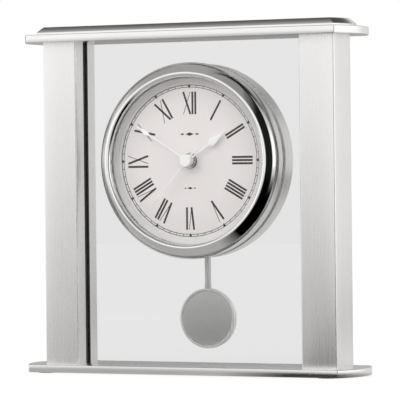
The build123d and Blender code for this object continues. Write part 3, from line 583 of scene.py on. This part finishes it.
def makeRehaut():
    section = [(radius * mm, dialFront - up * mm) for radius, up in rehaut]
    piece = turned("rehaut_body", section, 192)
    hand(piece, "case", "brushed_steel", rehautMetal, "rehaut_ring")


crystal = {"thick": 1.5 * mm, "rim": 1.7 * mm, "facets": 18}


# One face of the domed glass, from its middle to its edge.
def domeLine(edge, drop, base):
    big, count = (edge ** 2 + drop ** 2) / (2 * drop), crystal["facets"]
    return [(edge * i / count, base - drop + big - math.sqrt(big ** 2 - (edge * i / count) ** 2))
            for i in range(count + 1)]


def makeCrystal():
    low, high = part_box("crystal")
    outer, thick = reach("crystal"), crystal["thick"]
    shoulder = high.y - thick
    dome, inner = shoulder - low.y, outer - crystal["rim"]
    section = domeLine(inner, dome, shoulder) + [(outer, shoulder), (outer, high.y)]
    section += list(reversed(domeLine(inner - thick, dome, high.y)))
    piece = turned("crystal_glass", section, 128, closed=False)
    hand(piece, "case", "clear_glass", crystalGlass, "crystal")


makeRing()
makeBezel()
makeRehaut()
makeCrystal()
print("case, bezel and crystal made")


dial = {
    "inkHeight": 0.03 * mm,
    "numerals": ["XII", "I", "II", "III", "IIII", "V", "VI", "VII", "VIII", "IX", "X", "XI"],
    "numeralIn": 26.5 * mm, "numeralOut": 39.3 * mm,
    "thick": 1.15 * mm, "thin": 0.34 * mm, "pitch": 1.8 * mm, "wideV": 3.0 * mm, "wideX": 4.4 * mm,
    "trackIn": 41.95 * mm, "trackOut": 43.15 * mm, "line": 0.32 * mm, "tick": 0.34 * mm, "wedge": 1.4 * mm,
    # lozenges above and below the hands: across, up, half width, half height
    "lozenges": [(0, 15.2, 2.6, 1.0), (-4.6, 15.2, 1.4, 0.55), (4.6, 15.2, 1.4, 0.55),
                 (0, -15.6, 1.6, 0.7), (-2.9, -15.6, 0.8, 0.4), (2.9, -15.6, 0.8, 0.4)],
}


# Strokes of a numeral: each runs from (x, 0) at its foot to (x, 1) at its head, with a width.
def numeralStrokes(text):
    thick, thin, pitch = dial["thick"], dial["thin"], dial["pitch"]
    strokes, cursor = [], 0.0
    for letter in text:
        if letter == "I":
            strokes.append((cursor, cursor, thick))
            cursor += pitch
        elif letter == "V":
            wide = dial["wideV"]
            strokes.append((cursor + wide / 2, cursor, thick))
            strokes.append((cursor + wide / 2, cursor + wide, thin))
            cursor += wide + pitch * 0.8
        elif letter == "X":
            wide = dial["wideX"]
            strokes.append((cursor + wide, cursor, thick))
            strokes.append((cursor, cursor + wide, thin))
            cursor += wide + pitch * 0.75
    left = min(min(a, b) for a, b, w in strokes)
    right = max(max(a, b) for a, b, w in strokes)
    shift = (left + right) / 2
    return [(a - shift, b - shift, w) for a, b, w in strokes]


def inkBar(foot, head, width):
    middle = ((foot[0] + head[0]) / 2, (foot[1] + head[1]) / 2)
    run = (head[0] - foot[0], head[1] - foot[1])
    length = math.hypot(*run)
    lean = math.atan2(run[0], run[1])
    deselect()
    place = (middle[0], dialFront - dial["inkHeight"] / 2, headZ + middle[1])
    bpy.ops.mesh.primitive_cube_add(size=1, location=place, rotation=(0, lean, 0))
    bar = bpy.context.object
    bar.scale = (width, dial["inkHeight"], length)
    bpy.ops.object.transform_apply(location=True, rotation=True, scale=True)
    return bar


def joinAll(parts, name):
    deselect()
    for part in parts:
        part.select_set(True)
    bpy.context.view_layer.objects.active = parts[0]
    bpy.ops.object.join()
    piece = bpy.context.object
    piece.name = name
    piece.data.name = name
    return piece


# A point of the dial turned clockwise about its middle.
def around(point, angle):
    c, s = math.cos(angle), math.sin(angle)
    return (point[0] * c + point[1] * s, -point[0] * s + point[1] * c)


def makeNumerals():
    low, high = dial["numeralIn"], dial["numeralOut"]
    bars = []
    for hour, text in enumerate(dial["numerals"]):
        turn = math.radians(30 * hour)
        for foot, head, width in numeralStrokes(text):
            bars.append(inkBar(around((foot, low), turn), around((head, high), turn), width))
    piece = joinAll(bars, "dial_numerals")
    hand(piece, "case", "white_dial", printInk)


def makeTrack():
    bars = []
    for minute in range(60):
        turn = math.radians(6 * minute)
        inside, outside = around((0, dial["trackIn"]), turn), around((0, dial["trackOut"]), turn)
        bars.append(inkBar(inside, outside, dial["tick"]))
        if minute % 5 == 0:
            middle = (dial["trackIn"] + dial["trackOut"]) / 2
            deselect()
            bpy.ops.mesh.primitive_cylinder_add(vertices=3, radius=dial["wedge"], depth=dial["inkHeight"] * 1.2,
                                                location=(0, 0, 0), rotation=(math.pi / 2, 0, 0))
            wedge = bpy.context.object
            bpy.ops.object.transform_apply(location=True, rotation=True, scale=True)
            tip = max(v.co.z for v in wedge.data.vertices)
            sign = -1 if tip > 1.2 * mm else 1  # its point is turned inwards
            edit(True)
            bpy.ops.transform.resize(value=(0.9, 1, sign), center_override=(0, 0, 0))
            leave()
            place = around((0, middle), turn)
            edit(True)
            bpy.ops.transform.rotate(value=-turn, orient_axis="Y", center_override=(0, 0, 0))
            bpy.ops.transform.translate(value=(place[0], dialFront - dial["inkHeight"] * 0.6, headZ + place[1]))
            leave()
            bars.append(wedge)
    for radius in (dial["trackIn"], dial["trackOut"]):
        w, h = dial["line"] / 2, dial["inkHeight"]
        section = [(radius - w, dialFront), (radius + w, dialFront), (radius + w, dialFront - h),
                   (radius - w, dialFront - h)]
        bars.append(turned("trackLine", section, 180))
    piece = joinAll(bars, "dial_minute_track")
    edit(True)
    bpy.ops.mesh.normals_make_consistent(inside=False)
    leave()
    hand(piece, "case", "white_dial", printInk)


def makeOrnament():
    parts = []
    for across, up, wide, tall in dial["lozenges"]:
        deselect()
        bpy.ops.mesh.primitive_cylinder_add(vertices=4, radius=1, depth=dial["inkHeight"])
        lozenge = bpy.context.object
        lozenge.rotation_euler = (math.pi / 2, 0, 0)
        bpy.ops.object.transform_apply(location=True, rotation=True, scale=True)
        edit(True)
        bpy.ops.transform.resize(value=(wide * mm, 1, tall * mm), center_override=(0, 0, 0))
        bpy.ops.transform.translate(value=(across * mm, dialFront - dial["inkHeight"] / 2, headZ + up * mm))
        pickFaces(lozenge, lambda c, n: n.y < -0.9)
        bpy.ops.mesh.inset(thickness=0.08 * mm)
        bpy.ops.transform.translate(value=(0, -0.01 * mm, 0))
        leave()
        parts.append(lozenge)
    piece = joinAll(parts, "dial_ornament")
    hand(piece, "case", "white_dial", printInk)


makeNumerals()
makeTrack()
makeOrnament()
print("dial printed")

# Each hand: its turn from twelve, and its outline as distance from the middle and half width, in mm.
hands = {
    "hour": {"node": "hour_hand", "angle": 55, "ridge": 0.16 * mm, "collet": 3.4 * mm, "bore": 2.5 * mm,
             "thick": 0.4 * mm, "back": -9.3 * mm,
             "along": [(0, 1.0), (3, 0.55), (15.5, 0.45), (16.6, 1.5), (18, 2.4), (20.5, 1.9), (23.5, 1.0),
                       (26.5, 0.4), (30, 0.1)]},
    "minute": {"node": "minute_hand", "angle": 302, "ridge": 0.14 * mm, "collet": 3.0 * mm, "bore": 1.6 * mm,
               "thick": 0.4 * mm, "back": -10.6 * mm,
               "along": [(0, 0.9), (3, 0.45), (28, 0.35), (29.4, 0.9), (31, 1.35), (33.5, 0.9), (36, 0.45),
                         (38.5, 0.1)]},
    "second": {"node": "second_hand", "angle": 221, "ridge": 0.0, "collet": 3.5 * mm, "bore": 0.0,
               "thick": 0.3 * mm, "back": -11.5 * mm,
               "along": [(-9, 0.5), (-7.5, 0.5), (-6.5, 0.4), (0, 0.35), (36.5, 0.15)]},
}


def turnAbout(piece, degrees):
    wanted = math.radians(degrees)

    def heading():
        leave()
        tip = max((v.co for v in piece.data.vertices), key=lambda co: math.hypot(co.x, co.z - headZ))
        angle = math.atan2(tip.x, tip.z - headZ)
        edit(True)
        return angle

    edit(True)
    bpy.ops.transform.rotate(value=wanted, orient_axis="Y", center_override=(0, 0, headZ))
    if abs(math.sin((heading() - wanted) / 2)) > 0.01:  # the operator turned it the other way
        bpy.ops.transform.rotate(value=-2 * wanted, orient_axis="Y", center_override=(0, 0, headZ))
    leave()


def makeHand(body, look):
    low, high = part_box(look["node"])
    stations = [(a * mm, w * mm) for a, w in look["along"]]
    thick, back = look["thick"], look["back"]
    widest = max(w for a, w in stations)
    start, end = stations[0][0], stations[-1][0]
    deselect()
    bpy.ops.mesh.primitive_cube_add(size=1, location=(0, back - thick / 2, headZ + (start + end) / 2))
    bpy.context.object.scale = (2 * widest, thick, end - start)
    piece = begin(look["node"] + "_blade")
    for along, half in stations[1:-1]:
        edit(True)
        bpy.ops.mesh.bisect(plane_co=(0, 0, headZ + along), plane_no=(0, 0, 1))
    bpy.ops.mesh.select_all(action="SELECT")
    bpy.ops.mesh.bisect(plane_co=(0, 0, headZ), plane_no=(1, 0, 0))
    for along, half in stations:
        pickPoints(piece, lambda co: abs(co.z - headZ - along) < 0.01 * mm)
        bpy.ops.transform.resize(value=(half / widest, 1, 1), center_override=(0, 0, headZ))
    if look["ridge"]:
        pickPoints(piece, lambda co: abs(co.x) > 0.02 * mm and co.y < back - thick / 2)
        bpy.ops.transform.translate(value=(0, look["ridge"], 0))
    turnAbout(piece, look["angle"])
    c, b, edge = look["collet"], look["bore"], 0.15 * mm
    if body == "second":
        front, corner, dip = low.y, 0.3 * mm, 0.04 * mm
        section = [(0, back), (c - edge, back), (c, back - edge)]
        section += arc((c - corner, front + corner), corner, 0, -90, 6)
        section += [(c - 1.1 * mm, front), (c - 1.2 * mm, front + dip), (0, front + dip)]
        collet = turned("hub", section, 96, closed=False)
    else:
        rear = high.y
        section = [(b, rear), (c - edge, rear), (c, rear - edge), (c, back - thick + edge), (c - edge, back - thick),
                   (b, back - thick)]
        collet = turned("collet", section, 96)
    piece = joinAll([piece, collet], look["node"] + "_formed")
    smooth(piece, 20)
    hand(piece, body, "hand_silver", handPaint, look["node"])


for bodyName, look in hands.items():
    makeHand(bodyName, look)
print("hands made")


bob = {"rim": 1.45 * mm, "soft": 0.45 * mm, "play": 0.02 * mm}
rodLook = {"sink": 0.25 * mm, "edge": 0.5 * mm, "groove": (2.85, 3.0, 3.6, 3.75), "waist": 0.9}


def makePendulum():
    low, high, middle = boxOf("bob_rim")
    centre, radius, soft = middle.z, reach("bob_rim"), bob["soft"]
    inner = radius - bob["rim"]
    section = [(inner, high.y - 0.1 * mm), (inner + 0.1 * mm, high.y)]
    section += arc((radius - soft, high.y - soft), soft, 90, 0, 6)
    section += arc((radius - soft, low.y + soft), soft, 0, -90, 6)
    section += [(inner + 0.25 * mm, low.y), (inner, low.y + 0.25 * mm)]
    rim = turned("bob_rim_formed", section, 128, axisZ=centre)
    hand(rim, "pendulum", "polished_chrome", rimChrome, "bob_rim")
    for node, sign in (("bob_disc", 1), ("bob_back", -1)):
        low, high, middle = boxOf(node)
        face, rear = (low.y, high.y) if sign > 0 else (high.y, low.y)
        size = inner - bob["play"]
        section = [(0, face), (size - 0.5 * mm, face), (size - 0.2 * mm, face + sign * 0.05 * mm),
                   (size, face + sign * 0.25 * mm), (size, rear), (0, rear)]
        sheet = turned(node + "_formed", section, 128, closed=False, axisZ=centre)
        hand(sheet, "pendulum", "brushed_steel", bobMetal, node)
    low, high, middle = boxOf("pendulum_rod")
    thick = (high.x - low.x) / 2
    foot = centre + radius - rodLook["sink"]
    deselect()
    bpy.ops.mesh.primitive_cylinder_add(vertices=64, radius=thick, depth=high.z - foot,
                                        location=(0, middle.y, (high.z + foot) / 2))
    rod = begin("pendulum_rod_formed")
    pickFaces(rod, lambda c, n: n.z > 0.9)
    bpy.ops.mesh.bevel(offset=rodLook["edge"], segments=4, affect="EDGES")
    for along in rodLook["groove"]:  # a turned groove above the bob
        bpy.ops.mesh.select_all(action="SELECT")
        bpy.ops.mesh.bisect(plane_co=(0, 0, foot + along * mm), plane_no=(0, 0, 1))
    pickFaces(rod, lambda c, n: abs(c.z - foot - 3.3 * mm) < 0.2 * mm)
    bpy.ops.transform.resize(value=(rodLook["waist"], rodLook["waist"], 1), center_override=(0, middle.y, foot))
    leave()
    smooth(rod)
    hand(rod, "pendulum", "polished_chrome", rodChrome, "pendulum_rod")


makePendulum()
print("pendulum made")

# Nodes that keep their shape and only get a material.
kept = {
    "felt_feet": felt, "base_screws": steel, "top_screws": steel, "case_screws": steel,
    "glass_panel": panelGlass, "glass_seal_left": sealRubber, "glass_seal_right": sealRubber,
    "rear_case": drumMetal, "case_gasket_front": paleSilicone, "case_gasket_rear": paleSilicone,
    "crystal_gasket": sealRubber, "dial_plate": dialWhite,
    "movement_front_cover": blackPlastic, "movement_back_cover": blackPlastic,
    "middle_plate": greyPlastic, "train_plate": greyPlastic, "dial_washer": nickel, "dial_nut": nickel,
    "hour_wheel": gearPlastic, "cannon_pinion": brass, "motion_wheel": gearPlastic, "setting_knob": blackPlastic,
    "centre_wheel": gearPlastic, "third_wheel": gearPlastic, "second_wheel": gearPlastic,
    "intermediate_wheel": gearPlastic, "rotor": ironDark, "stator": ironDark, "motor_coil": copper,
    "pendulum_coil": copper, "circuit_board": boardGreen, "quartz_crystal": steel, "battery": cellWrap,
    "positive_contact": steel, "negative_contact": steel, "hanger_pin": steel,
    "pendulum_hanger": blackPlastic, "pendulum_magnet": ironDark,
}
for nodeName, material in kept.items():
    target = nodes[nodeName]
    target.data.materials.clear()
    target.data.materials.append(material)
print("kept nodes coloured")


view = {"azimuth": 25.523, "elevation": 0.427, "roll": -0.624, "distance": 1.7142, "lens": 270.09,
        "target": (2.705 * mm, 0, 99.07 * mm)}


def makeCamera():
    a, e, roll = (math.radians(view[key]) for key in ("azimuth", "elevation", "roll"))
    back = Vector((math.sin(a) * math.cos(e), -math.cos(a) * math.cos(e), math.sin(e)))
    data = bpy.data.cameras.new("studioCamera")
    camera = bpy.data.objects.new("studioCamera", data)
    bpy.context.scene.collection.objects.link(camera)
    data.lens = view["lens"]
    data.sensor_width = 36
    data.clip_start, data.clip_end = 0.05, 50
    camera.location = Vector(view["target"]) + back * view["distance"]
    camera.rotation_mode = "QUATERNION"
    right = (-back).cross(Vector((0, 0, 1))).normalized()
    up = right.cross(-back)
    r = right * math.cos(roll) + up * math.sin(roll)
    u = up * math.cos(roll) - right * math.sin(roll)
    camera.rotation_quaternion = Matrix((r, u, back)).transposed().to_quaternion()
    bpy.context.scene.camera = camera


# Brightness of the studio by heading (0 in front of the dial, 90 to its right) and by height.
studio = {
    "round": [(0.0, 0.80), (0.05, 0.45), (0.14, 0.45), (0.20, 1.00), (0.31, 1.10), (0.38, 1.15), (0.50, 1.05),
              (0.55, 0.85), (0.59, 0.35), (0.605, 0.01), (0.638, 0.01), (0.655, 1.15), (0.72, 1.25), (0.86, 1.15),
              (0.93, 0.80), (1.0, 0.80)],
    "high": [(0.0, 1.0), (0.64, 1.0), (0.74, 0.60), (0.85, 0.40), (0.93, 0.30), (1.0, 0.30)],
    "low": [(0.0, 0.20), (0.30, 0.45), (0.44, 0.85), (0.50, 1.0), (1.0, 1.0)],
    "soft": 1.35,
}


# Heading as a share of a full turn, from straight behind.
def headingOf(x, y):
    return x.maths("ARCTAN2", y * -1.0) / (2 * math.pi) + 0.5


# A pale floor to the eye; in reflections it is dark close in front and brighter further off.
def makeFloor():
    deselect()
    bpy.ops.mesh.primitive_plane_add(size=6, location=(0, 0, -0.02 * mm))
    floor = begin("studioFloor")
    finish = Finish("paleFloor", Roughness=0.9, Specular_IOR_Level=0.0)
    seen = finish.add("ShaderNodeLightPath", take="Is Camera Ray")
    x, y, z = finish.split(finish.place())
    band = finish.ramp(headingOf(x, y), studio["round"])
    distance = (x * x + y * y) ** 0.5
    away = finish.limits(distance, 0.08, 1.6, 0.25, 1.0)
    ahead = finish.limits(x - y * 0.25, 0.03, 0.07, 0.42, 0.0)
    near = ahead + finish.limits(y, -0.03, 0.03, 0.0, 1.0) * (0.75 - ahead)
    far = finish.limits(distance, 0.25, 0.6, 0.0, 1.0)
    glow = finish.blend(seen, finish.blend(far, near, band * away), (0.84, 0.84, 0.84))
    finish.put(Base_Color=finish.blend(seen, (0.0, 0.0, 0.0), (0.14, 0.14, 0.14)), Emission_Color=glow,
               Emission_Strength=1.0)
    floor.data.materials.append(finish.material)


def makeWorld():
    world = bpy.data.worlds.new("studio")
    bpy.context.scene.world = world
    world.use_nodes = True
    tree = world.node_tree
    tree.nodes.clear()
    sky = Nodes(tree)
    x, y, z = sky.split(sky.add("ShaderNodeTexCoord", take="Generated"))
    heading = headingOf(x, y)
    height = z * 0.5 + 0.5
    light = sky.ramp(heading, studio["round"]) * sky.ramp(height, studio["high"]) * sky.ramp(height, studio["low"])
    leftUpper = sky.limits(z, 0.20, 0.30, 0.0, 0.8) * sky.limits(heading, 0.575, 0.592, 1.0, 0.0)
    light = light.maths("MAXIMUM", leftUpper * sky.limits(z, 0.45, 0.75, 1.0, 0.35))
    overBack = sky.limits(y, -0.15, 0.25, 0.0, 0.8) * sky.limits(z, 0.30, 0.62, 0.0, 1.0)
    light = light * (1 - overBack)
    path = tree.nodes.new("ShaderNodeLightPath")
    camera = Wire(tree, path.outputs["Is Camera Ray"])
    glossy = Wire(tree, path.outputs["Is Glossy Ray"])
    level = glossy * light + (1 - glossy) * studio["soft"]
    shade = camera * 1.0 + (1 - camera) * level
    background = tree.nodes.new("ShaderNodeBackground")
    grey = sky.add("ShaderNodeCombineXYZ", None, {"X": shade, "Y": shade, "Z": shade})
    feed(tree, background.inputs["Color"], grey)
    feed(tree, background.inputs["Strength"], 1.0)
    output = tree.nodes.new("ShaderNodeOutputWorld")
    tree.links.new(background.outputs[0], output.inputs[0])


def softLight(name, place, size, power, aim):
    data = bpy.data.lights.new(name, "AREA")
    data.shape = "RECTANGLE"
    data.size, data.size_y = size
    data.energy = power
    lamp = bpy.data.objects.new(name, data)
    bpy.context.scene.collection.objects.link(lamp)
    lamp.location = place
    lamp.rotation_mode = "QUATERNION"
    lamp.rotation_quaternion = (Vector(aim) - Vector(place)).to_track_quat("-Z", "Y")
    return lamp


# A tall white card in front and to the left, dimmer towards its foot; it shows only in reflections.
card = {"heading": -25.5, "away": 0.75, "wide": 0.42, "tall": 0.8, "up": 0.28, "foot": 0.44, "head": 1.02,
        "span": 0.20}


def makeCard():
    turn = math.radians(card["heading"])
    deselect()
    bpy.ops.mesh.primitive_plane_add(size=1, location=(0, 0, 0), rotation=(math.pi / 2, 0, turn))
    bpy.context.object.scale = (card["wide"], card["tall"], 1)
    bpy.context.object.location = (math.sin(turn) * card["away"], -math.cos(turn) * card["away"], card["up"])
    piece = begin("reflectionCard")
    finish = Finish("cardGlow", Base_Color=(0, 0, 0), Specular_IOR_Level=0.0, Emission_Strength=1.0)
    x, y, z = finish.split(finish.place())
    level = finish.limits(z, 0.0, card["span"], card["foot"], card["head"])
    finish.put(Emission_Color=finish.add("ShaderNodeCombineXYZ", None, {"X": level, "Y": level, "Z": level}))
    piece.data.materials.append(finish.material)
    piece.visible_camera = False
    piece.visible_diffuse = False
    piece.visible_shadow = False
    piece.visible_transmission = False


makeCamera()
makeFloor()
makeWorld()
makeCard()
key = softLight("keyLight", (-0.9, -1.6, 1.3), (0.7, 0.7), 6.0, (0, 0, 0.1))
key.visible_glossy = False
bpy.context.scene.view_settings.view_transform = "Standard"
print("studio made")
